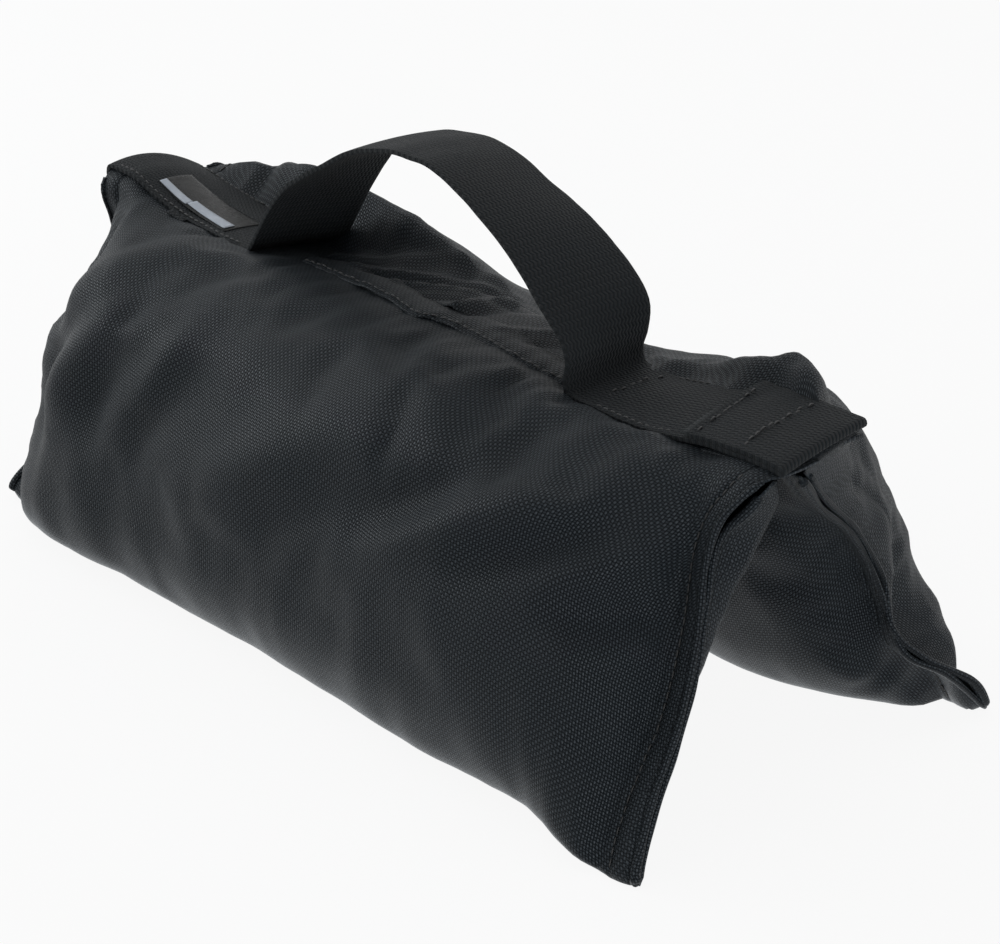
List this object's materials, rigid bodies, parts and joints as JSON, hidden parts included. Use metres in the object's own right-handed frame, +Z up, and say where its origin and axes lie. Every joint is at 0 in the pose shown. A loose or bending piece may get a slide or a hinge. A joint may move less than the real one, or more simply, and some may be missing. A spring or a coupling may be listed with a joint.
{
  "type": "saddle sandbag",
  "caption": "Saddle sandbag: sand-filled fabric pouches hang from a ridge under a standing webbing carry handle.",
  "frame": {"origin": "on the floor, under the middle of the ridge", "axes": "+X along the ridge towards the end where the strap is turned back, -Y towards the front pouch, +Z up"},
  "size_m": [0.444, 0.2362, 0.2165],
  "materials": {
    "pouch_fabric": "matte",
    "webbing": "matte",
    "thread": "satin",
    "label_cloth": "satin",
    "liner_film": "satin",
    "sand": "matte"
  },
  "bodies": {
    "saddle": {"saddle_panel": "pouch_fabric", "strap_foot_left": "webbing", "strap_foot_right": "webbing", "label_patch": "label_cloth", "label_tab": "webbing", "lap_hem": "pouch_fabric", "lap_thread": "thread", "cross_thread_left": "thread", "cross_thread_right": "thread", "end_thread_inner": "thread", "end_thread_outer": "thread", "edge_thread_left_near": "thread", "edge_thread_left_far": "thread", "edge_thread_right_near": "thread", "edge_thread_right_far": "thread"},
    "front_pouch": {"front_pouch_shell": "pouch_fabric", "front_liner_bag": "liner_film", "front_sand_fill": "sand", "front_top_hem": "pouch_fabric", "front_seam_thread_left": "thread", "front_seam_thread_right": "thread"},
    "back_pouch": {"back_pouch_shell": "pouch_fabric", "back_liner_bag": "liner_film", "back_sand_fill": "sand", "back_top_hem": "pouch_fabric", "back_seam_thread_left": "thread", "back_seam_thread_right": "thread"},
    "handle": {"handle_loop": "webbing"}
  },
  "joints": [
    {"name": "front_pouch_swing", "type": "hinge", "parent": "saddle", "child": "front_pouch", "pos_m": [0, -0.0278, 0.145], "axis": [1, 0, 0], "range_deg": [-60, 14]},
    {"name": "back_pouch_swing", "type": "hinge", "parent": "saddle", "child": "back_pouch", "pos_m": [0, 0.0278, 0.145], "axis": [-1, 0, 0], "range_deg": [-60, 14]},
    {"name": "handle_lean", "type": "hinge", "parent": "saddle", "child": "handle", "pos_m": [-0.004, 0, 0.1738], "axis": [1, 0, 0], "range_deg": [-50, 50], "stiffness_Nm_per_rad": 0.03}
  ]
}
